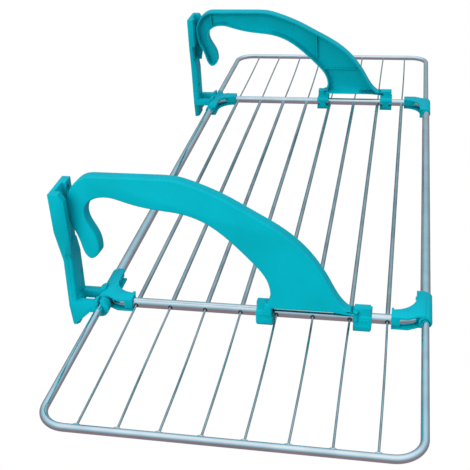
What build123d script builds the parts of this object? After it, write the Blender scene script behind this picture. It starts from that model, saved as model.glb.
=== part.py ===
from build123d import *
import os

# Fold-down drying rack. X points out of the wall, Y runs along the rack, Z is up.
# The origin is the centre of the four wall screw holes, on the back faces of the plates.
# Everything is drawn with the plane of the rails at Z = 0 and lowered when it is written.

# ---- driving dimensions, mm ----
LOOP_WIDTH = 350.0  # side tube axis to side tube axis
LOOP_LENGTH = 610.0  # cross tube axis to cross tube axis
SEAM_FROM_NEAR = 100.0  # joint between the two U tubes, from the near cross tube
WALL_GAP = 35.0  # wall to the axis of the side tube next to it
TUBE_OD = 11.0
TUBE_WALL = 0.9
TUBE_BEND = 27.5
RAIL_COUNT = 8
RAIL_INSET = 38.9  # from a side tube to the nearest rail
RAIL_OD = 5.0
RAIL_BORE = 3.6
LEG_PLAY = 1.2  # between the bore of a side tube and the leg inside it, across
END_WALL = 0.8
END_BEND = 27.0
WIRE_OD = 2.4
FULLY_OUT = 224.0  # how far an end frame can stand out past its cross tube
NEAR_BACK = 22.0  # the near one is pushed back in by this much
LEG_GRIP = 4.5  # end of a leg, inside the straight part of the side tube, when fully out
WIRE_GRIP = 18.0  # end of a wire, inside its rail, when fully out
PLUG_PLAY = 0.2
PLUG_HEAD = 4.0
PLUG_SPIGOT = 12.0

# corner brackets
SLEEVE_WALL = 1.6
SLEEVE_LENGTH = {"wall": 54.0, "free": 45.0}  # from the cross tube axis, along the side tube
COLLAR = 2.0  # past the cross tube axis, around the end frame's leg
CROSS_REACH = 35.0  # from the side tube axis, along the cross tube
CROSS_WALL = 2.0
TOP_COVER = 2.5  # how far the top plate stands above the tube
SKIRT = 3.5  # how far the skirt of the top shell reaches below the tube axis
SHELL = 2.4  # thickness of the top and bottom plates
WEB_EDGE = 9.5  # inner edge of the top plate, from the side tube axis
WEB_CURVE = 24.0  # radius of the hollow inner edge
NIB = 2.4
NIB_RISE = 1.0
MOUTH_BACK = 9.0  # solid end of the cross leg, beyond the open mouth

# wall plates
PLATE_HALF = 22.0
PLATE_WAIST = {"out": 10.5, "in": 18.5}  # half widths, each side of the cross tube axis
PLATE_HIP = {"out": 15.5, "in": 18.5}
PLATE_FOOT = {"out": 12.5, "in": 15.5}
PLATE_TOP = 142.0
PLATE_SHOULDER = 98.0  # the wide part starts to narrow here
PLATE_KNEE = 56.0
PLATE_BOTTOM = -26.0
PLATE_BOARD = 5.0
HOOK_ROOM = 2.0  # between the hook's back and the land of the plate
PLATE_CHEEK = 16.0  # how far the cheek beside the hook stands out from the wall
CHEEK_BEVEL = (5.0, 8.0)
BODY_THICK = (7.0, 8.5, 10.0, 7.5)  # rounded lower body at its foot, axis, knee and top
BODY_ROUND = 3.2
BODY_STEP = 0.5  # the body stands in from the plate's own edges
GROOVE = (-7.0, 13.2)  # groove behind the hook, from the cross tube axis towards the end
PIT_DEPTH = 3.0
PIT = (72.0, 94.0)  # heights of the hollow in the groove
RIB_WIDTH = 3.0
SCREW_HOLE_R = 2.2
SCREW_HEAD_R = 4.2
SCREW_SUNK = 0.8
SCREW_HIGH = 133.0
SCREW_LOW = 29.0
SCREW_INSET = 12.0  # from the plate's centre line, towards the middle of the rack
WINDOW_HALF = 10.0  # opening between the two lugs
LUG_OUT = (6.5, 16.0)  # outer lug, from the cross tube axis towards the end
LUG_IN = (10.0, 20.0)  # inner lug, from the cross tube axis towards the middle
LUG_WALL = 6.4
LUG_HALF = 6.0
LUG_SLOT = 3.0
GUSSET_ROOM = 12.0
CRADLE_WALL = 3.0
CRADLE_BAR_HALF = 4.5

# hook arms: (distance from the side tube next to the wall, height above the cross tube)
ARM_LEAN = 6.0  # degrees, towards the middle, when the hook is at its plate
HOOK_BACK = [(6, 153), (-8, 149), (-19, 137), (-24, 115), (-20, 95), (-13, 78)]
HOOK_TIP = [(-13, 78), (-10, 67), (-2.5, 59.5), (5, 64), (7.5, 75)]
HOOK_THROAT = [(7.5, 75), (3.5, 90), (-3.5, 104), (-3.5, 118), (6, 127.5), (21, 130), (41, 125)]
ARCH_UNDER = [(41, 125), (69, 119), (102, 114.5), (125, 105.5), (149, 87.5), (172, 64.5), (190, 28)]
ARCH_TOE = [(282, 12.5), (272, 15.5), (257, 33), (239, 64)]
ARCH_CROWN = [(239, 64), (219, 87), (198, 103), (173, 117.5), (139, 136), (104, 149.5), (73, 153)]
ARCH_DRAWN = 272.2  # distance to the seventh rail that the arch is drawn for
ARM_HEEL = 5.0
ARM_FACE = 17.5  # smooth face, from the cross tube axis towards the end
ARM_DEPTH = 14.5
ARM_WEB = 2.4
ARM_RIM = 2.4
ARM_RIB = 1.8
ARM_RIB_DEPTH = 6.0
UPRIGHT_RIB = 171.0
LEVEL_RIB = 54.0
HOOK_RIB = 118.0
INSET_STEPS = 12
CLIP_LENGTH = {"wall": 18.0, "free": 19.0}
CLIP_FROM_RAIL = {"wall": 2.9, "free": 3.8}
CLIP_WALL_T = 5.0
CLIP_FRONT = 14.0
CLIP_ROUND = 5.0
CAP_SPACING = 10.0
CAP_WINDOW = 7.0
NECK = 5.0
NECK_BACK = 8.0

# clearances
RUNNING = 0.1
SLIDE_GAP = 0.3
CLIP_GAP = 0.15

# ---- worked out ----
WALL_X = WALL_GAP
FREE_X = WALL_X + LOOP_WIDTH
CROSS_Y = LOOP_LENGTH / 2
TUBE_R = TUBE_OD / 2
TUBE_BORE_R = TUBE_R - TUBE_WALL
END_R = TUBE_BORE_R - LEG_PLAY / 2
PLUG_R = TUBE_BORE_R - PLUG_PLAY / 2
PITCH = (LOOP_WIDTH - 2 * RAIL_INSET) / (RAIL_COUNT - 1)
RAIL_X = [WALL_X + RAIL_INSET + PITCH * k for k in range(RAIL_COUNT)]
SEAM_Y = SEAM_FROM_NEAR - CROSS_Y
LIFT = -(SCREW_HIGH + SCREW_LOW) / 2
SLEEVE_R = TUBE_R + SLEEVE_WALL
CROSS_TOP = TUBE_R + TOP_COVER
CROSS_HALF = TUBE_R + CROSS_WALL
LUG_R = END_R + LUG_WALL
CLIP_R = TUBE_R + CLIP_WALL_T
PLATE_LAND = WALL_X + min(HOOK_BACK)[0] - HOOK_ROOM
BODY_HEIGHTS = (PLATE_BOTTOM + BODY_STEP, 0.0, PLATE_KNEE, PIT[0] - BODY_STEP)
ARCH_START = ARCH_UNDER[0][0]
ARCH_STRETCH = (RAIL_X[6] - WALL_X - ARCH_START) / (ARCH_DRAWN - ARCH_START)
CLIPS = {
    "wall": (RAIL_X[4] - CLIP_FROM_RAIL["wall"] - CLIP_LENGTH["wall"], RAIL_X[4] - CLIP_FROM_RAIL["wall"]),
    "free": (RAIL_X[6] + CLIP_FROM_RAIL["free"], RAIL_X[6] + CLIP_FROM_RAIL["free"] + CLIP_LENGTH["free"]),
}
LEG_LENGTH = FULLY_OUT + TUBE_BEND + LEG_GRIP  # end tube axis to the inner end of a leg
WIRE_LENGTH = FULLY_OUT + WIRE_GRIP
ENDS = {"near": (-1, CROSS_Y + FULLY_OUT - NEAR_BACK), "far": (1, CROSS_Y + FULLY_OUT)}


def write(name, shape):
    shape = Pos(0, 0, LIFT) * shape
    shape.label = name
    export_step(shape, os.path.join("parts", name + ".step"))


def at_end(side, shape):
    """The far end is drawn; the near end is its mirror image."""
    return shape if side > 0 else mirror(shape, about=Plane.XZ)


def rod(x, y0, y1, radius, z=0.0):
    """Round bar along Y."""
    low, high = min(y0, y1), max(y0, y1)
    return Pos(x, (low + high) / 2, z) * Rot(90, 0, 0) * Cylinder(radius, high - low)


def cross_rod(y, x0, x1, radius, z=0.0):
    """Round bar along X."""
    return Pos((x0 + x1) / 2, y, z) * Rot(0, 90, 0) * Cylinder(radius, x1 - x0)


def block(x0, x1, y0, y1, z0, z1):
    low_y, high_y = min(y0, y1), max(y0, y1)
    centre = Pos((x0 + x1) / 2, (low_y + high_y) / 2, (z0 + z1) / 2)
    return centre * Box(x1 - x0, high_y - low_y, z1 - z0)


def bent_bar(points, bend, radius):
    """Round bar along a flat path with rounded corners."""
    path = FilletPolyline(*points, radius=bend)
    start = Vector(*points[0])
    section = Plane(origin=start, z_dir=Vector(*points[1]) - start) * Circle(radius)
    return sweep(section, path=path)


def u_points(y_open, y_cross):
    return [(WALL_X, y_open), (WALL_X, y_cross), (FREE_X, y_cross), (FREE_X, y_open)]


# ---- the extending frame ----
def loop_tube(y_cross):
    """One of the two U tubes of the middle frame, with its rail, wire and leg holes."""
    points = u_points(SEAM_Y, y_cross)
    tube = bent_bar(points, TUBE_BEND, TUBE_R) - bent_bar(points, TUBE_BEND, TUBE_BORE_R)
    side = 1 if y_cross > 0 else -1
    for x in RAIL_X:
        tube -= rod(x, y_cross, y_cross - side * TUBE_OD, RAIL_OD / 2)
        tube -= rod(x, y_cross, y_cross + side * TUBE_OD, RAIL_BORE / 2 + SLIDE_GAP)
    for x in (WALL_X, FREE_X):
        tube -= rod(x, y_cross - side * TUBE_BEND, y_cross + side * TUBE_OD, END_R + SLIDE_GAP)
    return tube


def middle_rail(x):
    reach = CROSS_Y - TUBE_BORE_R + TUBE_WALL
    return rod(x, -reach, reach, RAIL_OD / 2) - rod(x, -reach, reach, RAIL_BORE / 2)


def end_tube(side, y_end):
    points = u_points(side * (y_end - LEG_LENGTH), side * y_end)
    tube = bent_bar(points, END_BEND, END_R) - bent_bar(points, END_BEND, END_R - END_WALL)
    for x in RAIL_X:
        tube -= rod(x, side * y_end, side * (y_end - 2 * END_R), WIRE_OD / 2)
    return tube


def end_wire(side, y_end, x):
    return rod(x, side * (y_end - END_WALL), side * (y_end - WIRE_LENGTH), WIRE_OD / 2)


def stop_plug(side, y_end, x):
    y = y_end - LEG_LENGTH
    head = rod(x, side * y, side * (y - PLUG_HEAD), PLUG_R)
    return head + rod(x, side * y, side * (y + PLUG_SPIGOT), END_R - END_WALL)


# ---- corner brackets ----
def corner_bracket(length):
    """Moulded corner at the wall side of the far end, over the bend of the loop."""
    inner = CROSS_Y - length
    reach = WALL_X + CROSS_REACH
    arm_start = WALL_X + CROSS_REACH / 2
    edge = WALL_X + WEB_EDGE
    curve_y = CROSS_Y - CROSS_HALF - WEB_CURVE
    sleeve = rod(WALL_X, inner, CROSS_Y + COLLAR, SLEEVE_R)
    arm = block(arm_start, reach, CROSS_Y - CROSS_HALF, CROSS_Y + CROSS_HALF, -SKIRT, CROSS_TOP)
    arm = fillet(arm.edges().filter_by(Axis.X).sort_by(Axis.Z)[-2:], SHELL)
    outline = Polyline(
        (WALL_X, inner),
        (WALL_X, CROSS_Y + COLLAR),
        (WALL_X + SLEEVE_R, CROSS_Y + COLLAR),
        (arm_start, CROSS_Y + CROSS_HALF),
        (reach, CROSS_Y + CROSS_HALF),
        (reach, curve_y),
        (edge, curve_y),
        (edge, inner),
        close=True,
    )
    hollow = Pos(edge + WEB_CURVE, curve_y) * Circle(WEB_CURVE)
    hollow += Pos(edge + 2 * WEB_CURVE, curve_y) * Rectangle(2 * WEB_CURVE, 2 * WEB_CURVE)
    plan = make_face(outline) - hollow
    body = sleeve + arm
    for level in (CROSS_TOP - SHELL, -SLEEVE_R):
        body += Pos(0, 0, level) * extrude(plan, amount=SHELL)
    for x, y in ((reach - NIB, CROSS_Y - CROSS_HALF), (edge - NIB / 2, curve_y)):
        body += block(x, x + NIB, y - NIB / 2, y + NIB / 2, CROSS_TOP - SHELL, CROSS_TOP + NIB_RISE)
    mouth_x = reach - MOUTH_BACK
    mouth_y = (CROSS_Y, CROSS_Y + 2 * CROSS_HALF)
    body -= block(WALL_X + SLEEVE_R, mouth_x, *mouth_y, SHELL - SLEEVE_R, CROSS_TOP - SHELL)
    body -= bent_bar(u_points(0, CROSS_Y), TUBE_BEND, TUBE_R)
    return body - rod(WALL_X, CROSS_Y - TUBE_BEND, CROSS_Y + 2 * CROSS_HALF, END_R + SLIDE_GAP)


# ---- wall plates ----
def plate_half(side, height):
    """Half width of the plate on one side of the cross tube axis."""
    heights = (PLATE_BOTTOM, 0, PLATE_KNEE, PLATE_SHOULDER, PLATE_TOP)
    halves = (PLATE_FOOT[side], PLATE_HIP[side], PLATE_WAIST[side], PLATE_HALF, PLATE_HALF)
    for low, high, below, above in zip(heights, heights[1:], halves, halves[1:]):
        if low <= height <= high:
            return below + (above - below) * (height - low) / (high - low)


def plate_outline():
    heights = (PLATE_TOP, PLATE_SHOULDER, PLATE_KNEE, 0, PLATE_BOTTOM)
    points = [(CROSS_Y + plate_half("out", z), z) for z in heights]
    points += [(CROSS_Y - plate_half("in", z), z) for z in reversed(heights)]
    return make_face(Plane.YZ * Polyline(*points, close=True))


def outer_lug():
    """Open hook around the leg of the end frame."""
    y0, y1 = CROSS_Y + LUG_OUT[0], CROSS_Y + LUG_OUT[1]
    root = PLATE_BOARD / 2
    lug = rod(WALL_X, y0, y1, LUG_R) + block(root, WALL_X, y0, y1, -LUG_HALF, LUG_HALF)
    foot = (root, PLATE_BOTTOM + 1)
    gusset = Polyline((root, -LUG_HALF), (WALL_X - GUSSET_ROOM, -LUG_HALF), foot, close=True)
    gusset = make_face(Plane.XZ.offset(-y1) * gusset)
    lug += extrude(gusset, amount=RIB_WIDTH, dir=(0, -1, 0))
    lug -= rod(WALL_X, y0 - 1, y1 + 1, END_R + SLIDE_GAP)
    return lug - block(WALL_X - LUG_SLOT / 2, WALL_X + LUG_SLOT / 2, y0 - 1, y1 + 1, 0, LUG_R + 1)


def inner_lug():
    """Cradle over the round sleeve of the corner bracket."""
    y0, y1 = CROSS_Y - LUG_IN[1], CROSS_Y - LUG_IN[0]
    bore = SLEEVE_R + RUNNING + CLIP_GAP
    crown = rod(WALL_X, y0, y1, bore + CRADLE_WALL)
    crown &= block(0, WALL_X - SLIDE_GAP, y0, y1, -1, 2 * LUG_R)
    bar_end = WALL_X - bore - RUNNING
    crown += block(PLATE_BOARD / 2, bar_end, y0, y1, -CRADLE_BAR_HALF, CRADLE_BAR_HALF)
    return crown - rod(WALL_X, y0 - 1, y1 + 1, bore)


def sideways(points, y_outer, width):
    """Solid with this side view, from its outer face inwards."""
    face = make_face(Plane.XZ.offset(-y_outer) * Polyline(*points, close=True))
    return extrude(face, amount=width, dir=(0, -1, 0))


def plate_body():
    """Rounded lower body of the plate, which thins towards its foot."""
    sections = []
    for height, thick in zip(BODY_HEIGHTS, BODY_THICK):
        out, into = plate_half("out", height) - BODY_STEP, plate_half("in", height) - BODY_STEP
        centre = Pos((thick + BODY_STEP) / 2, CROSS_Y + (out - into) / 2, height)
        sections.append(centre * RectangleRounded(thick - BODY_STEP, out + into, BODY_ROUND))
    return loft(sections, ruled=True)


def plate_cheek():
    """Raised cheek beside the hook, which runs down into the body."""
    bevel_x, bevel_z = CHEEK_BEVEL
    side_view = [
        (0, PLATE_TOP),
        (PLATE_CHEEK - bevel_x, PLATE_TOP),
        (PLATE_CHEEK, PLATE_TOP - bevel_z),
        (PLATE_CHEEK, PLATE_SHOULDER),
        (BODY_THICK[2], PLATE_KNEE),
        (0, PLATE_KNEE),
    ]
    cheek = sideways(side_view, CROSS_Y + PLATE_HALF, PLATE_HALF - GROOVE[1])
    return cheek & extrude(plate_outline(), amount=PLATE_CHEEK, dir=(1, 0, 0))


def wall_plate():
    """Plate at the far end: two screws, a groove for the hook and two lugs for the frame."""
    plate = extrude(plate_outline(), amount=PLATE_BOARD, dir=(1, 0, 0))
    plate += block(0, PLATE_LAND, CROSS_Y - PLATE_HALF, CROSS_Y + GROOVE[0], PLATE_SHOULDER, PLATE_TOP)
    plate += plate_body() + plate_cheek()
    plate -= block(PLATE_BOARD - PIT_DEPTH, PLATE_BOARD, CROSS_Y + GROOVE[0], CROSS_Y + GROOVE[1], *PIT)
    window_y = (CROSS_Y - LUG_IN[0] + 1, CROSS_Y + LUG_OUT[0] - 1)
    plate -= block(-1, BODY_THICK[2], *window_y, -WINDOW_HALF, WINDOW_HALF)
    plate += outer_lug() + inner_lug()
    y = CROSS_Y - SCREW_INSET
    sink = SCREW_HEAD_R - SCREW_HOLE_R
    low_front = BODY_THICK[1] + (BODY_THICK[2] - BODY_THICK[1]) * SCREW_LOW / PLATE_KNEE
    for height, front in ((SCREW_LOW, low_front), (SCREW_HIGH, PLATE_LAND)):
        seat = front - SCREW_SUNK
        plate -= cross_rod(y, -1, 2 * PLATE_LAND, SCREW_HOLE_R, height)
        plate -= cross_rod(y, seat, 2 * PLATE_LAND, SCREW_HEAD_R, height)
        plate -= Pos(seat - sink / 2, y, height) * Rot(0, 90, 0) * Cone(SCREW_HOLE_R, SCREW_HEAD_R, sink)
    return plate


# ---- hook arms ----
def along_arch(points):
    """Stretch the arch, not the hook, to suit the spacing of the rails."""
    return [(u if u <= ARCH_START else ARCH_START + (u - ARCH_START) * ARCH_STRETCH, z) for u, z in points]


def arm_curves():
    """Side view of a hook arm, from its top round the hook to the heel, then from the toe back."""
    top = Line(along_arch(ARCH_CROWN)[-1], HOOK_BACK[0])
    back = Spline(*HOOK_BACK, tangents=[(-1, 0), (0.3, -1)])
    tip = Spline(*HOOK_TIP, tangents=[(0.3, -1), (-0.05, 1)])
    throat = Spline(*HOOK_THROAT, tangents=[(-0.05, 1), (1, -0.3)])
    under = Spline(*along_arch(ARCH_UNDER), tangents=[(1, -0.3), (0, -1)])
    toe = Spline(*along_arch(ARCH_TOE), tangents=[(-1, 0.1), (-0.55, 0.8)])
    crown = Spline(*along_arch(ARCH_CROWN), tangents=[(-0.55, 0.8), (-1, 0)])
    return [top, back, tip, throat, under], [toe, crown]


def inset(curve, amount):
    """The same curve, moved inwards by the wall thickness."""
    points = []
    for step in range(INSET_STEPS + 1):
        spot = curve.position_at(step / INSET_STEPS)
        along = curve.tangent_at(step / INSET_STEPS)
        points.append((spot.X - along.Y * amount, spot.Y + along.X * amount))
    return Spline(*points)


def arm_face(amount=0.0):
    """Face of the arm's side view, or of its hollow when it is moved inwards."""
    first, last = arm_curves()
    if amount:
        first = [inset(curve, amount) for curve in first]
        last = [inset(curve, amount) for curve in last]
    heel = first[-1] @ 1
    toe = last[0] @ 0
    corner_x = heel.X if amount else heel.X - ARM_HEEL
    foot = Polyline(heel, (corner_x, toe.Y), toe)
    return make_face([*first, *foot.edges(), *last])


def clip_half(ends, side):
    """Half of a clip around the cross tube: side 1 is the half towards the end."""
    front = CLIP_FRONT if side > 0 else CLIP_R
    half = block(*ends, CROSS_Y, CROSS_Y + side * front, -CLIP_R, CLIP_R)
    edges = half.edges().filter_by(Axis.X).sort_by(Axis.Y)
    half = fillet(edges[-2:] if side > 0 else edges[:2], CLIP_ROUND)
    return half - cross_rod(CROSS_Y, ends[0] - 1, ends[1] + 1, TUBE_R + CLIP_GAP)


def hook_arm():
    """Arm at the far end, upright: a shell, open towards the middle, with half of each clip."""
    face_y = CROSS_Y + ARM_FACE
    outer = Plane((WALL_X, face_y, 0), x_dir=(1, 0, 0), z_dir=(0, -1, 0))
    solid = extrude(outer * arm_face(), amount=ARM_DEPTH)
    inner = Plane((WALL_X, face_y - ARM_WEB, 0), x_dir=(1, 0, 0), z_dir=(0, -1, 0))
    hollow = extrude(inner * arm_face(ARM_RIM), amount=ARM_DEPTH)
    foot = ARCH_TOE[0][1]
    rib_x = WALL_X + along_arch([(UPRIGHT_RIB, 0)])[0][0]
    rib_y = (face_y - ARM_WEB - ARM_RIB_DEPTH, face_y - ARM_WEB / 2)
    ribs = block(rib_x, rib_x + ARM_RIB, *rib_y, foot, PLATE_TOP)
    ribs += block(rib_x, FREE_X, *rib_y, LEVEL_RIB, LEVEL_RIB + ARM_RIB)
    ribs += block(WALL_X, WALL_X + ARM_RIB, *rib_y, HOOK_RIB, 2 * HOOK_RIB)
    arm = solid - hollow + (ribs & solid)
    neck_y = (CROSS_Y + CLIP_FRONT / 2, face_y)
    arm += block(CLIPS["wall"][1] - NECK_BACK, CLIPS["wall"][1], *neck_y, TUBE_R / 2, foot + NECK)
    arm += block(CLIPS["free"][0], CLIPS["free"][0] + NECK, *neck_y, TUBE_R / 2, foot + NECK / 2)
    for ends in CLIPS.values():
        arm += clip_half(ends, 1)
    return arm


def clip_cap(ends):
    """Strap that closes a clip on the side facing the middle."""
    cap = clip_half(ends, -1)
    middle = (ends[0] + ends[1]) / 2
    for side in (-1, 1):
        window = Box(CAP_SPACING, CLIP_R + TUBE_R, CAP_WINDOW)
        cap -= Pos(middle + side * CAP_SPACING, CROSS_Y - CLIP_R) * window
    return cap


def leaned(shape):
    """Tip an arm piece towards the middle, about the cross tube."""
    return shape.rotate(Axis((0, CROSS_Y, 0), (1, 0, 0)), ARM_LEAN)


def main():
    os.makedirs("parts", exist_ok=True)
    write("long_u_tube", loop_tube(CROSS_Y))
    write("short_u_tube", loop_tube(-CROSS_Y))
    for number, x in enumerate(RAIL_X, 1):
        write(f"middle_rail_{number}", middle_rail(x))
    corners = {
        "wall": corner_bracket(SLEEVE_LENGTH["wall"]),
        "free": mirror(corner_bracket(SLEEVE_LENGTH["free"]), about=Plane.YZ.offset((WALL_X + FREE_X) / 2)),
    }
    plate = wall_plate()
    arm = leaned(hook_arm())
    for name, (side, y_end) in ENDS.items():
        write(f"{name}_end_tube", end_tube(side, y_end))
        for number, x in enumerate(RAIL_X, 1):
            write(f"{name}_wire_{number}", end_wire(side, y_end, x))
        write(f"wall_plate_{name}", at_end(side, plate))
        write(f"{name}_arm", at_end(side, arm))
        for place, x in (("wall", WALL_X), ("free", FREE_X)):
            write(f"{name}_stop_plug_{place}", stop_plug(side, y_end, x))
            write(f"{name}_corner_{place}", at_end(side, corners[place]))
            write(f"{name}_clip_cap_{place}", at_end(side, leaned(clip_cap(CLIPS[place]))))


main()
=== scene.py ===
import math

import bmesh
import bpy
from mathutils import Matrix, Vector


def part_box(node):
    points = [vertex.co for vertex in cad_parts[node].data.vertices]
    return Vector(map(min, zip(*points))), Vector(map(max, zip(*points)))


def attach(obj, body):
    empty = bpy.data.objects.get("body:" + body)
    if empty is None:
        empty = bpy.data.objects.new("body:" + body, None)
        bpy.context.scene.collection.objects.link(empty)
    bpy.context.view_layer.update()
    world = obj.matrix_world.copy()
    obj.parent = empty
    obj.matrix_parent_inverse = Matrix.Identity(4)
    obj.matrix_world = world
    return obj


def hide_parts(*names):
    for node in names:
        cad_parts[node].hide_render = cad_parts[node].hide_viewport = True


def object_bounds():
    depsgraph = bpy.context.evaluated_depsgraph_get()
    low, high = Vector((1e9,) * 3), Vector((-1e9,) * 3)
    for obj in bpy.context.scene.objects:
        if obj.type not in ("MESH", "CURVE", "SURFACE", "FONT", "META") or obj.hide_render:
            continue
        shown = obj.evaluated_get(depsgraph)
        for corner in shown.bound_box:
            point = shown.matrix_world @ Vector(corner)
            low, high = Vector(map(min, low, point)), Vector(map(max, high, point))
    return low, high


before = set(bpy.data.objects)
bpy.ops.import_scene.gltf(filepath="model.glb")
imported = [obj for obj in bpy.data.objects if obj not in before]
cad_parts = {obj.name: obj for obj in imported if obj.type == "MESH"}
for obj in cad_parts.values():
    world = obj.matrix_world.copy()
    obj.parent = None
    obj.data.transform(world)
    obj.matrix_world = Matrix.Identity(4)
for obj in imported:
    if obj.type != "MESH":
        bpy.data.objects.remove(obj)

cad_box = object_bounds()


def half_height(node):
    """The radius of a round bar or tube that lies level."""
    low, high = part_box(node)
    return (high.z - low.z) / 2


# ---- sizes read from the frame, in metres ----
ENDS = {"near": -1, "far": 1}  # the way each end points along Y
PLACES = ("wall", "free")
RAILS = range(1, 9)  # numbered from the wall out, as the wires are
LOOP_LOW, LOOP_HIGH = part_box("long_u_tube")
TUBE_R = half_height("long_u_tube")
PLANE_Z = (LOOP_HIGH.z + LOOP_LOW.z) / 2
WALL_X = LOOP_LOW.x + TUBE_R
FREE_X = LOOP_HIGH.x - TUBE_R
CROSS_Y = LOOP_HIGH.y - TUBE_R
SEAM_Y = LOOP_LOW.y
END_R = half_height("far_end_tube")
END_Y = {
    "near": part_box("near_end_tube")[0].y + END_R,
    "far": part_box("far_end_tube")[1].y - END_R,
}
LEG_Y = {"near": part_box("near_end_tube")[1].y, "far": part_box("far_end_tube")[0].y}
RAIL_R = half_height("middle_rail_1")
WIRE_R = half_height("near_wire_1")
RAIL_X = [sum(corner.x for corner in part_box(f"middle_rail_{k}")) / 2 for k in RAILS]
CLIP_X = {place: [corner.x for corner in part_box(f"far_clip_cap_{place}")] for place in PLACES}

# ---- sizes of the finish, in metres ----
MM = 0.001
TINY = 0.1 * MM  # what counts as the same place on a piece
MERGE = 0.001 * MM
MERGE_CAD = 0.002 * MM

# tubes, rails and wires
TUBE_BEND = 27.5 * MM
END_BEND = 27.0 * MM
TUBE_WALL = 0.9 * MM
TUBE_SIDES = 40
BEND_STEPS = 14
LIP_STEP = 0.15 * MM
LIP_ROUND = 0.03  # part of the tube's radius that the lip's outer rounding takes
BORE_SHOWN = 5.0 * MM
ROD_SIDES = 20
ROD_STEPS = 12
WIRE_BOW = [bow * MM for bow in (0.6, -0.4, 0.9, 0.7, 1.0, 0.8, -0.5, 0.7)]
BEAD_LONG = 4.0 * MM
BEAD_DEEP = 2.1 * MM
BEAD_RINGS = 10
BEAD_PLACE = 0.8  # part of the end tube's radius, from its axis out

# the drilled holes, drawn shallow with a painted shadow on their floor; from the hidden back of
# each to the middle of its floor
HOLE_R = 2.8 * MM
HOLE_SIDES = 20
HOLE_INSETS = [step * MM for step in (0.3, 0.4, 0.7, 0.6)]
HOLE_LIFTS = [lift * MM for lift in (-0.4, -0.05, 0.22, 0.06, 0.06, 0.06)]
HOLE_SHADOW_RING = 3  # the ring at which the painted shadow on the hole's floor starts

# arms
ARM_LEAN = math.radians(6.0)
ARM_FACE = 17.5 * MM
ARM_DEPTH = 14.5 * MM
ARM_WEB = 2.4 * MM
ARM_RIM = 2.3 * MM
ARM_ROUND = 2.2 * MM
ARM_STEPS = 4
RIB_HALF = 0.8 * MM
RIB_DEPTH = 5.0 * MM
ARM_RIBS = (  # ends of each rib in mm, across from the wall side's tube and up
    ((172, 71), (172, 116)),
    ((181.5, 54), (244, 54)),
    ((0.5, 126), (0.5, 151)),
)

# clips
CLIP_R = 10.5 * MM
CLIP_FRONT = 14.0 * MM
CLIP_ROUND = 4.5 * MM
CLIP_STEPS = 6
CLIP_EDGE = 0.7 * MM
CAP_EDGE = 0.6 * MM
PAD_EDGE = 1.2 * MM
PAD_RISE = 0.35 * MM
PAD_RIM = 2.2 * MM
NECK_INSET = 1.0 * MM
NECK_TOP = 17.5 * MM
NECK_STEPS = 3

# plates and corner brackets
PLATE_EDGE = 0.6 * MM
CORNER_EDGE = 0.4 * MM
EDGE_STEPS = 2

# angles in degrees
SHARP = 35.0  # an edge sharper than this is shaded as an edge
SHARP_ARM = 40.0
SOFT_FROM = 32.0  # an edge sharper than this is rounded
SOFT_FROM_CLIP = 70.0
FLAT = 0.5  # faces closer than this become one

# ---- the studio: places in metres, powers in watts, angles in degrees ----
FLOOR_DROP = 0.55
FLOOR_HALF = 12.0
FLOOR_WHITE = (1.0, 1.0, 1.0)
FLOOR_DIM = (0.30, 0.22, 0.25)
SKY_STRENGTH = 1.0
SKY = (  # height from the horizon to straight up, and the colour there
    (0.001, (0.26, 0.36, 0.37)),
    (0.30, (0.35, 0.46, 0.50)),
    (0.52, (0.40, 0.64, 0.76)),
    (0.78, (0.68, 0.85, 1.0)),
    (0.98, (0.94, 0.98, 1.0)),
)
LAMPS = (  # name, place, size, power and colour
    ("key", (-0.7, -2.1, 1.0), 1.8, 40.0, (1.0, 0.99, 0.97)),
    ("fill", (2.4, -1.2, 1.2), 2.0, 12.0, (0.95, 0.98, 1.0)),
    ("top", (0.4, 1.2, 2.6), 1.8, 9.0, (0.9, 0.96, 1.0)),
)
CAMERA_PLACE = (0.3552, -1.0571, 0.4568)
CAMERA_AZIMUTH, CAMERA_ELEVATION, CAMERA_ROLL = 12.50, 30.01, -3.44
CAMERA_LENS = 66.38
CAMERA_SENSOR = 36.0
CAMERA_START = 0.05


# ---- finishes ----
def new_material(name, colour, roughness, metallic=0.0):
    material = bpy.data.materials.new(name)
    material.use_nodes = True
    shader = material.node_tree.nodes["Principled BSDF"]
    shader.inputs["Base Color"].default_value = (*colour, 1.0)
    shader.inputs["Roughness"].default_value = roughness
    shader.inputs["Metallic"].default_value = metallic
    return material, material.node_tree, shader


def object_place(tree):
    return tree.nodes.new("ShaderNodeTexCoord").outputs["Object"]


def noise(tree, place, scale, detail=3.0):
    node = tree.nodes.new("ShaderNodeTexNoise")
    node.inputs["Scale"].default_value = scale
    node.inputs["Detail"].default_value = detail
    tree.links.new(place, node.inputs["Vector"])
    return node.outputs["Fac"]


def colours(tree, factor, low, high, start=0.35, end=0.65):
    """Colours from low to high as the factor goes from start to end."""
    node = tree.nodes.new("ShaderNodeValToRGB")
    node.color_ramp.elements[0].position = start
    node.color_ramp.elements[1].position = end
    node.color_ramp.elements[0].color = (*low, 1.0)
    node.color_ramp.elements[1].color = (*high, 1.0)
    tree.links.new(factor, node.inputs["Fac"])
    return node.outputs["Color"]


def numbers(tree, factor, low, high, start=0.3, end=0.7):
    """Numbers from low to high as the factor goes from start to end."""
    node = tree.nodes.new("ShaderNodeMapRange")
    node.inputs["From Min"].default_value = start
    node.inputs["From Max"].default_value = end
    node.inputs["To Min"].default_value = low
    node.inputs["To Max"].default_value = high
    tree.links.new(factor, node.inputs["Value"])
    return node.outputs["Result"]


def bump(tree, shader, height, strength, distance):
    node = tree.nodes.new("ShaderNodeBump")
    node.inputs["Strength"].default_value = strength
    node.inputs["Distance"].default_value = distance
    tree.links.new(height, node.inputs["Height"])
    tree.links.new(node.outputs["Normal"], shader.inputs["Normal"])


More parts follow.
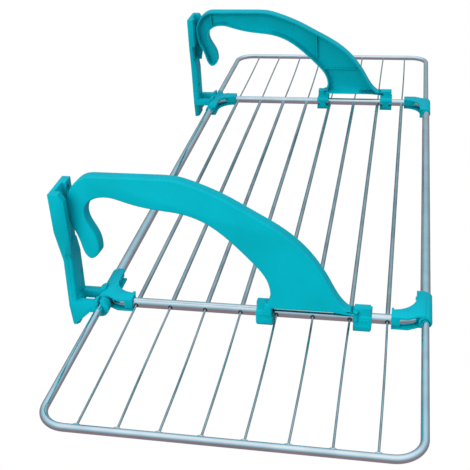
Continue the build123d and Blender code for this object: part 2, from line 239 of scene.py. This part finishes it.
def moulded_plastic():
    """Satin moulded plastic with slight flow marks, scuffs and a fine grain."""
    material, tree, shader = new_material("teal_plastic", (0.0, 0.42, 0.50), roughness=0.45)
    shader.inputs["Specular IOR Level"].default_value = 0.07
    place = object_place(tree)
    flow = noise(tree, place, scale=22.0)
    scuff = noise(tree, place, scale=260.0, detail=6.0)
    grain = noise(tree, place, scale=1400.0, detail=2.0)
    colour = colours(tree, flow, low=(0.0, 0.395, 0.46), high=(0.0, 0.43, 0.51))
    tree.links.new(colour, shader.inputs["Base Color"])
    tree.links.new(numbers(tree, scuff, low=0.34, high=0.52), shader.inputs["Roughness"])
    bump(tree, shader, grain, strength=0.12, distance=0.2 * MM)
    return material


def draw_lines(tree, place, squeeze=60.0):
    """Noise that is long along a level tube, whichever way it runs, and fine around it."""
    split = tree.nodes.new("ShaderNodeSeparateXYZ")
    along = tree.nodes.new("ShaderNodeMath")
    around = tree.nodes.new("ShaderNodeMath")
    joined = tree.nodes.new("ShaderNodeCombineXYZ")
    along.operation = "ADD"
    around.operation = "MULTIPLY"
    around.inputs[1].default_value = squeeze
    tree.links.new(place, split.inputs["Vector"])
    tree.links.new(split.outputs["X"], along.inputs[0])
    tree.links.new(split.outputs["Y"], along.inputs[1])
    tree.links.new(split.outputs["Z"], around.inputs[0])
    tree.links.new(along.outputs["Value"], joined.inputs["X"])
    tree.links.new(around.outputs["Value"], joined.inputs["Y"])
    return noise(tree, joined.outputs["Vector"], scale=28.0, detail=4.0)


def zinc_steel(name, light, dark, smooth, rough):
    """Bright plated steel with fine draw lines and faint stains."""
    material, tree, shader = new_material(name, light, smooth, metallic=1.0)
    place = object_place(tree)
    lines = draw_lines(tree, place)
    stain = noise(tree, place, scale=34.0, detail=5.0)
    colour = colours(tree, stain, dark, light, start=0.3, end=0.6)
    tree.links.new(colour, shader.inputs["Base Color"])
    tree.links.new(numbers(tree, lines, smooth, rough), shader.inputs["Roughness"])
    bump(tree, shader, lines, strength=0.025, distance=0.1 * MM)
    return material


# Near-black plastic for the stop plugs, and near-black painted shadow for the floor of each wire
# hole.
def black_plastic_and_shadow(name, level, roughness, swing=0.1):
    material, tree, shader = new_material(name, (level, level, level), roughness)
    grain = noise(tree, object_place(tree), scale=900.0)
    uneven = numbers(tree, grain, roughness - swing, roughness + swing)
    tree.links.new(uneven, shader.inputs["Roughness"])
    return material


TEAL = moulded_plastic()
TUBE = zinc_steel(
    "zinc_tube", light=(0.78, 0.84, 0.86), dark=(0.66, 0.72, 0.75), smooth=0.07, rough=0.15
)
WIRE = zinc_steel(
    "zinc_wire", light=(0.56, 0.62, 0.63), dark=(0.38, 0.43, 0.44), smooth=0.16, rough=0.28
)
PLUG = black_plastic_and_shadow("plug_plastic", level=0.02, roughness=0.5)
# The wire holes' floor: painted shadow standing in for the hole's depth.
HOLE_SHADOW = black_plastic_and_shadow("painted_hole_shadow", level=0.012, roughness=0.7)


# ---- making pieces ----
def finish_piece(bm, name, body, nodes, materials, sharp=SHARP):
    """Make the mesh an object that stands for its CAD nodes and rides on their body."""
    mesh = bpy.data.meshes.new(name)
    bm.to_mesh(mesh)
    bm.free()
    for material in materials:
        mesh.materials.append(material)
    mesh.shade_smooth()
    mesh.set_sharp_from_angle(angle=math.radians(sharp))
    piece = bpy.data.objects.new(name, mesh)
    bpy.context.scene.collection.objects.link(piece)
    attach(piece, body)
    if nodes:
        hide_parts(*nodes)


def verts_of(geometry):
    return [item for item in geometry if isinstance(item, bmesh.types.BMVert)]


def edges_of(geometry):
    return [item for item in geometry if isinstance(item, bmesh.types.BMEdge)]


def faces_of(geometry):
    return [item for item in geometry if isinstance(item, bmesh.types.BMFace)]


def span(edge, axis):
    """How far an edge runs along an axis, 0 to 2 for X, Y and Z."""
    one, other = edge.verts
    return abs(one.co[axis] - other.co[axis])


def round_edges(bm, edges, width, steps, clamp=False):
    bmesh.ops.bevel(
        bm,
        geom=edges,
        offset=width,
        offset_type="OFFSET",
        segments=steps,
        profile=0.5,
        affect="EDGES",
        clamp_overlap=clamp,
        material=-1,
    )


def soften(bm, width, angle=SOFT_FROM):
    """Round every edge sharper than the angle."""
    limit = math.radians(angle)
    sharp = [e for e in bm.edges if e.is_manifold and e.calc_face_angle(0.0) > limit]
    round_edges(bm, sharp, width, EDGE_STEPS, clamp=True)


def merged_copy(node):
    """The CAD node's own triangles, joined up and with their flat areas made whole."""
    bm = bmesh.new()
    bm.from_mesh(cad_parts[node].data)
    bmesh.ops.remove_doubles(bm, verts=bm.verts, dist=MERGE_CAD)
    bmesh.ops.dissolve_limit(
        bm, angle_limit=math.radians(FLAT), verts=bm.verts, edges=bm.edges
    )
    return bm


def moulding(node, body, width):
    """A CAD node in teal plastic with its edges rounded."""
    bm = merged_copy(node)
    soften(bm, width)
    finish_piece(bm, f"{node}_moulding", body, [node], [TEAL])


# ---- tubes, rails and wires ----
def disc(bm, centre, radius, sides, cap=True):
    """A circle of vertices square to Y."""
    ring = bmesh.ops.create_circle(bm, cap_ends=cap, segments=sides, radius=radius)["verts"]
    turn = Matrix.Rotation(math.pi / 2, 3, "X")
    bmesh.ops.rotate(bm, verts=ring, cent=(0, 0, 0), matrix=turn)
    bmesh.ops.translate(bm, verts=ring, vec=centre)
    return ring


def push(bm, edges, move):
    """Extrude a ring of edges by a vector and give back the new ring."""
    made = bmesh.ops.extrude_edge_only(bm, edges=edges)["geom"]
    bmesh.ops.translate(bm, verts=verts_of(made), vec=move)
    return edges_of(made)


def narrow(bm, edges, centre, factor):
    """Extrude a ring of edges and scale the new ring about a point."""
    made = bmesh.ops.extrude_edge_only(bm, edges=edges)["geom"]
    about = Matrix.Translation(-centre)
    bmesh.ops.scale(bm, verts=verts_of(made), vec=(factor,) * 3, space=about)
    return edges_of(made)


def open_end(bm, edges, centre, radius, inward):
    """Turn a tube's end in: a rounded lip, the cut face and a length of the bore."""
    bore = (radius - TUBE_WALL) / radius
    lip = (1 + bore) / 2 + LIP_ROUND
    edges = push(bm, edges, -inward * LIP_STEP)
    edges = narrow(bm, edges, centre, lip)
    edges = narrow(bm, edges, centre, bore / lip)
    push(bm, edges, inward * BORE_SHOWN)


def u_tube(bm, open_y, cross_y, bend, radius):
    """A U of round tube: up the wall side, across at cross_y and back down the free side."""
    side = 1 if cross_y > open_y else -1
    start = Vector((WALL_X, open_y, PLANE_Z))
    stop = Vector((FREE_X, open_y, PLANE_Z))
    disc(bm, start, radius, TUBE_SIDES, cap=False)
    first = bm.edges[:]
    straight = abs(cross_y - open_y) - bend
    edges = push(bm, first, (0, side * straight, 0))
    for turn_x, run in ((WALL_X + bend, FREE_X - WALL_X - 2 * bend), (FREE_X - bend, 0)):
        turned = bmesh.ops.spin(
            bm,
            geom=edges,
            cent=(turn_x, cross_y - side * bend, PLANE_Z),
            axis=(0, 0, -side),
            angle=math.pi / 2,
            steps=BEND_STEPS,
            use_duplicate=False,
        )
        edges = edges_of(turned["geom_last"])
        if run:
            edges = push(bm, edges, (run, 0, 0))
    edges = push(bm, edges, (0, -side * straight, 0))
    inward = Vector((0, side, 0))
    open_end(bm, first, start, radius, inward)
    open_end(bm, edges, stop, radius, inward)
    bmesh.ops.remove_doubles(bm, verts=bm.verts, dist=MERGE)
    bmesh.ops.recalc_face_normals(bm, faces=bm.faces)


def wire_hole(bm, x, cross_y):
    """A drilled hole with a raised lip, on the outer side of a cross tube: a shallow patch whose
    floor is painted with the hole's shadow.
    """
    side = 1 if cross_y > 0 else -1
    tube = set(bm.faces)
    back = bmesh.ops.create_circle(bm, cap_ends=True, segments=HOLE_SIDES, radius=HOLE_R)["verts"]
    made = bmesh.ops.extrude_face_region(bm, geom=[back[0].link_faces[0]])["geom"]
    face = faces_of(made)[0]
    rings = [back, verts_of(made)]
    for step in HOLE_INSETS:
        before = set(bm.verts)
        bmesh.ops.inset_region(bm, faces=[face], thickness=step, use_boundary=True)
        rings.append([vert for vert in bm.verts if vert not in before])
    # The faces from the shadow ring inwards get the painted hole shadow.
    inner = {vert for ring in rings[HOLE_SHADOW_RING:] for vert in ring}
    for vert in inner:
        for item in vert.link_faces:
            if inner.issuperset(item.verts):
                item.material_index = 1
    whole = [vert for ring in rings for vert in ring]
    turn = Matrix.Rotation(-side * math.pi / 2, 3, "X")
    bmesh.ops.rotate(bm, verts=whole, cent=(0, 0, 0), matrix=turn)
    for ring, lift in zip(rings, HOLE_LIFTS):
        for vert in ring:
            vert.co.y = side * (math.sqrt(TUBE_R**2 - vert.co.z**2) + lift)
    bmesh.ops.translate(bm, verts=whole, vec=(x, cross_y, PLANE_Z))
    patch = [item for item in bm.faces if item not in tube]
    bmesh.ops.recalc_face_normals(bm, faces=patch)


def loop_tube(node, cross_y):
    """One of the two U tubes of the middle loop, with the holes for the wires."""
    bm = bmesh.new()
    u_tube(bm, SEAM_Y, cross_y, TUBE_BEND, TUBE_R)
    for x in RAIL_X:
        wire_hole(bm, x, cross_y)
    finish_piece(bm, f"{node}_skin", "main_frame", [node], [TUBE, HOLE_SHADOW])


def rod(bm, path, radius):
    """A round bar through a row of points along Y, closed at both ends."""
    start = disc(bm, path[0], radius, ROD_SIDES)[0].link_faces[0]
    made = bmesh.ops.extrude_face_region(bm, geom=[start])["geom"]
    face = faces_of(made)[0]
    bmesh.ops.translate(bm, verts=list(face.verts), vec=path[1] - path[0])
    for here, there in zip(path[1:], path[2:]):
        face = bmesh.ops.extrude_discrete_faces(bm, faces=[face])["faces"][0]
        bmesh.ops.translate(bm, verts=list(face.verts), vec=there - here)
    bmesh.ops.recalc_face_normals(bm, faces=bm.faces)


def wire_path(x, outer, entry, inner, bow):
    """Points along a wire: bowed sideways in the open, and straight inside its rail."""
    points = []
    for step in range(ROD_STEPS + 1):
        part = step / ROD_STEPS
        aside = bow * math.sin(math.pi * part)
        points.append(Vector((x + aside, outer + (entry - outer) * part, PLANE_Z)))
    points.append(Vector((x, inner, PLANE_Z)))
    return points


def weld_bead(bm, x, end_y, side):
    """The flattened drop of metal where a wire is welded to its end tube."""
    made = bmesh.ops.create_uvsphere(
        bm, u_segments=ROD_SIDES, v_segments=BEAD_RINGS, radius=1.0
    )["verts"]
    centre = (x, end_y - side * END_R * BEAD_PLACE, PLANE_Z + BEAD_DEEP / 2)
    bmesh.ops.scale(bm, verts=made, vec=(BEAD_LONG, BEAD_DEEP, BEAD_DEEP))
    bmesh.ops.translate(bm, verts=made, vec=centre)


def middle_rails():
    for number, x in zip(RAILS, RAIL_X):
        node = f"middle_rail_{number}"
        path = [Vector((x, corner.y, PLANE_Z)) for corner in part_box(node)]
        bm = bmesh.new()
        rod(bm, path, RAIL_R)
        finish_piece(bm, f"{node}_skin", "main_frame", [node], [WIRE])


def end_frame(end):
    """The sliding U tube of one end, its weld beads and its wires."""
    side = ENDS[end]
    body = f"{end}_end_frame"
    node = f"{end}_end_tube"
    bm = bmesh.new()
    u_tube(bm, LEG_Y[end], END_Y[end], END_BEND, END_R)
    for x in RAIL_X:
        weld_bead(bm, x, END_Y[end], side)
    finish_piece(bm, f"{node}_skin", body, [node], [TUBE])
    for number, x, bow in zip(RAILS, RAIL_X, WIRE_BOW):
        node = f"{end}_wire_{number}"
        low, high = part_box(node)
        outer, inner = (low.y, high.y) if side < 0 else (high.y, low.y)
        bm = bmesh.new()
        rod(bm, wire_path(x, outer, side * CROSS_Y, inner, bow), WIRE_R)
        finish_piece(bm, f"{node}_skin", body, [node], [WIRE])


# ---- hook arms and their clips ----
def lean(bm, side, angle):
    """Turn an upright arm or clip over towards the middle, about its cross tube."""
    hinge = Vector((0, side * CROSS_Y, PLANE_Z))
    turn = Matrix.Rotation(side * angle, 3, "X")
    bmesh.ops.rotate(bm, verts=bm.verts, cent=hinge, matrix=turn)


def outer_faces(bm, side, straight):
    """The faces that lie in the upright arm's smooth outer side."""
    level = side * (CROSS_Y + ARM_FACE)
    return [
        face
        for face in bm.faces
        if face.normal.y * side > straight and abs(face.calc_center_median().y - level) < TINY
    ]


def arm_shell(bm, side):
    """Keep only the arm's outer side and carry it back to a hollow shell with a round rim."""
    kept = outer_faces(bm, side, 0.99)
    bmesh.ops.delete(bm, geom=[f for f in bm.faces if f not in kept], context="FACES")
    bmesh.ops.dissolve_faces(bm, faces=bm.faces)
    made = bmesh.ops.extrude_face_region(bm, geom=bm.faces[:])["geom"]
    bmesh.ops.translate(bm, verts=verts_of(made), vec=(0, -side * ARM_DEPTH, 0))
    bmesh.ops.recalc_face_normals(bm, faces=bm.faces)
    back = min(bm.faces, key=lambda face: face.normal.y * side)
    bmesh.ops.inset_region(bm, faces=[back], thickness=ARM_RIM, use_even_offset=True)
    floor = bmesh.ops.extrude_discrete_faces(bm, faces=[back])["faces"][0]
    hollow = (0, side * (ARM_DEPTH - ARM_WEB), 0)
    bmesh.ops.translate(bm, verts=list(floor.verts), vec=hollow)
    rim = list(outer_faces(bm, side, 0.9)[0].edges)
    round_edges(bm, rim, ARM_ROUND, ARM_STEPS)


def rib(bm, start, stop, side):
    """A low stiffening wall inside the shell, between two points across and up."""
    middle_y = side * (CROSS_Y + ARM_FACE - ARM_WEB - RIB_DEPTH / 2)
    start, stop = (
        Vector((WALL_X + across * MM, middle_y, PLANE_Z + up * MM)) for across, up in (start, stop)
    )
    run = stop - start
    made = bmesh.ops.create_cube(bm, size=1.0)["verts"]
    bmesh.ops.scale(bm, verts=made, vec=(run.length, RIB_DEPTH, 2 * RIB_HALF))
    turn = Matrix.Rotation(-math.atan2(run.z, run.x), 3, "Y")
    bmesh.ops.rotate(bm, verts=made, cent=(0, 0, 0), matrix=turn)
    bmesh.ops.translate(bm, verts=made, vec=(start + stop) / 2)


def hook_arm(end):
    """The arm's shell and its ribs, made upright and then leaned over."""
    side = ENDS[end]
    node = f"{end}_arm"
    bm = merged_copy(node)
    lean(bm, side, -ARM_LEAN)
    arm_shell(bm, side)
    for start, stop in ARM_RIBS:
        rib(bm, start, stop, side)
    lean(bm, side, ARM_LEAN)
    finish_piece(
        bm, f"{node}_shell", f"{end}_hook_arm", [node], [TEAL], SHARP_ARM
    )


def clip_cap(end, place):
    """Inner half of a clip, rounded on the side away from the arm as the outer half is."""
    node = f"{end}_clip_cap_{place}"
    low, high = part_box(node)
    away = low.x if place == "wall" else high.x
    bm = merged_copy(node)
    rounded = [
        e
        for e in bm.edges
        if all(abs(v.co.x - away) < TINY for v in e.verts)
        and span(e, 1) > CLIP_ROUND
        and abs(e.verts[0].co.z - PLANE_Z) > CLIP_R / 2
    ]
    round_edges(bm, rounded, CLIP_ROUND, CLIP_STEPS)
    soften(bm, CAP_EDGE)
    finish_piece(bm, f"{node}_moulding", f"{end}_hook_arm", [node], [TEAL])


def bar(bm, one, other):
    """A plain bar between two opposite corners."""
    low, high = Vector(map(min, one, other)), Vector(map(max, one, other))
    made = bmesh.ops.create_cube(bm, size=1.0)["verts"]
    bmesh.ops.scale(bm, verts=made, vec=high - low)
    bmesh.ops.translate(bm, verts=made, vec=(low + high) / 2)
    return made


def clip_pad(bm, side):
    """A raised pad with a sunk middle, on the front of a clip."""
    front = max(bm.faces, key=lambda face: (round(face.normal.y * side, 2), face.calc_area()))
    for width, rise in (
        (PAD_EDGE, 0.0),
        (PAD_RISE, PAD_RISE),
        (PAD_RIM, 0.0),
        (PAD_RISE, -PAD_RISE),
    ):
        bmesh.ops.inset_region(
            bm, faces=[front], thickness=width, depth=rise, use_even_offset=True
        )


def clip_neck(bm, low_x, high_x, side):
    """The short block that joins a clip to the arm above it."""
    cross_y = side * CROSS_Y
    neck = bar(
        bm,
        (low_x + NECK_INSET, cross_y + side * (ARM_FACE - ARM_DEPTH), PLANE_Z + CLIP_R / 2),
        (high_x - NECK_INSET, cross_y + side * (CLIP_FRONT - NECK_INSET), PLANE_Z + NECK_TOP),
    )
    upright = [e for e in bm.edges if e.verts[0] in neck and span(e, 2) > CLIP_R / 2]
    round_edges(bm, upright, NECK_INSET, NECK_STEPS)


def clip_half(end, place):
    """Outer half of a clip: a rounded block with a pad, and the neck up to the arm."""
    side = ENDS[end]
    low_x, high_x = CLIP_X[place]
    away = low_x if place == "wall" else high_x
    cross_y = side * CROSS_Y
    bm = bmesh.new()
    bar(
        bm,
        (low_x, cross_y, PLANE_Z - CLIP_R),
        (high_x, cross_y + side * CLIP_FRONT, PLANE_Z + CLIP_R),
    )
    front = max(bm.faces, key=lambda face: face.normal.y * side)
    long_edges = [e for e in front.edges if span(e, 0) > CLIP_R]
    deep_edges = [
        e
        for e in bm.edges
        if all(abs(v.co.x - away) < MM for v in e.verts) and span(e, 1) > CLIP_R
    ]
    round_edges(bm, long_edges + deep_edges, CLIP_ROUND, CLIP_STEPS)
    clip_pad(bm, side)
    soften(bm, CLIP_EDGE, SOFT_FROM_CLIP)
    clip_neck(bm, low_x, high_x, side)
    bmesh.ops.recalc_face_normals(bm, faces=bm.faces)
    lean(bm, side, ARM_LEAN)
    name = f"{end}_arm_clip_{place}"
    finish_piece(bm, name, f"{end}_hook_arm", [], [TEAL], SHARP_ARM)


# ---- the rack ----
loop_tube("long_u_tube", CROSS_Y)
loop_tube("short_u_tube", -CROSS_Y)
middle_rails()
for end in ENDS:
    end_frame(end)
    moulding(f"wall_plate_{end}", "wall_plates", PLATE_EDGE)
    hook_arm(end)
    for place in PLACES:
        clip_half(end, place)
        moulding(f"{end}_corner_{place}", "main_frame", CORNER_EDGE)
        clip_cap(end, place)
        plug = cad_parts[f"{end}_stop_plug_{place}"]
        plug.data.materials.clear()
        plug.data.materials.append(PLUG)


# ---- floor, lights and camera ----
def pale_floor():
    """An even white floor that the rack itself sees as a dim, warm one."""
    material, tree, shader = new_material("floor_white", (0.0, 0.0, 0.0), roughness=1.0)
    shader.inputs["Specular IOR Level"].default_value = 0.0
    shader.inputs["Emission Strength"].default_value = 1.0
    seen = tree.nodes.new("ShaderNodeLightPath").outputs["Is Camera Ray"]
    blend = tree.nodes.new("ShaderNodeMixRGB")
    blend.inputs["Color1"].default_value = (*FLOOR_DIM, 1.0)
    blend.inputs["Color2"].default_value = (*FLOOR_WHITE, 1.0)
    tree.links.new(seen, blend.inputs["Fac"])
    tree.links.new(blend.outputs["Color"], shader.inputs["Emission Color"])
    return material


def floor_plane(middle, level):
    bm = bmesh.new()
    bmesh.ops.create_grid(bm, x_segments=1, y_segments=1, size=FLOOR_HALF)
    bmesh.ops.translate(bm, verts=bm.verts, vec=(middle.x, middle.y, level))
    mesh = bpy.data.meshes.new("floor")
    bm.to_mesh(mesh)
    bm.free()
    mesh.materials.append(pale_floor())
    floor = bpy.data.objects.new("floor", mesh)
    bpy.context.scene.collection.objects.link(floor)


def soft_sky():
    """Bluish light from above that darkens towards the horizon, for the metal to mirror."""
    world = bpy.data.worlds.new("studio")
    world.use_nodes = True
    tree = world.node_tree
    place = tree.nodes.new("ShaderNodeTexCoord").outputs["Generated"]
    split = tree.nodes.new("ShaderNodeSeparateXYZ")
    fade = tree.nodes.new("ShaderNodeValToRGB")
    stops = fade.color_ramp.elements
    for height, colour in SKY:
        stops.new(height).color = (*colour, 1.0)
    stops.remove(stops[0])
    stops.remove(stops[-1])
    background = tree.nodes["Background"]
    background.inputs["Strength"].default_value = SKY_STRENGTH
    tree.links.new(place, split.inputs["Vector"])
    tree.links.new(split.outputs["Z"], fade.inputs["Fac"])
    tree.links.new(fade.outputs["Color"], background.inputs["Color"])
    bpy.context.scene.world = world


def soft_lamp(name, place, size, power, colour, target):
    """A square lamp that faces the rack and doesn't show in its gloss."""
    lamp = bpy.data.lights.new(name, "AREA")
    lamp.size = size
    lamp.energy = power
    lamp.color = colour
    holder = bpy.data.objects.new(name, lamp)
    holder.location = place
    holder.rotation_euler = (target - Vector(place)).to_track_quat("-Z", "Y").to_euler()
    holder.visible_glossy = False
    bpy.context.scene.collection.objects.link(holder)


def camera():
    azimuth = math.radians(CAMERA_AZIMUTH)
    elevation = math.radians(CAMERA_ELEVATION)
    level = math.cos(elevation)
    ahead = Vector(
        (-math.sin(azimuth) * level, math.cos(azimuth) * level, -math.sin(elevation))
    )
    turn = ahead.to_track_quat("-Z", "Y").to_matrix()
    roll = Matrix.Rotation(math.radians(CAMERA_ROLL), 3, "Z")
    lens = bpy.data.cameras.new("camera")
    lens.lens = CAMERA_LENS
    lens.sensor_width = CAMERA_SENSOR
    lens.clip_start = CAMERA_START
    view = bpy.data.objects.new("camera", lens)
    view.location = CAMERA_PLACE
    view.rotation_euler = (turn @ roll).to_euler()
    bpy.context.scene.collection.objects.link(view)
    bpy.context.scene.camera = view


centre = (cad_box[0] + cad_box[1]) / 2
floor_plane(centre, cad_box[0].z - FLOOR_DROP)
soft_sky()
for lamp in LAMPS:
    soft_lamp(*lamp, centre)
bpy.context.scene.view_settings.view_transform = "Standard"
camera()
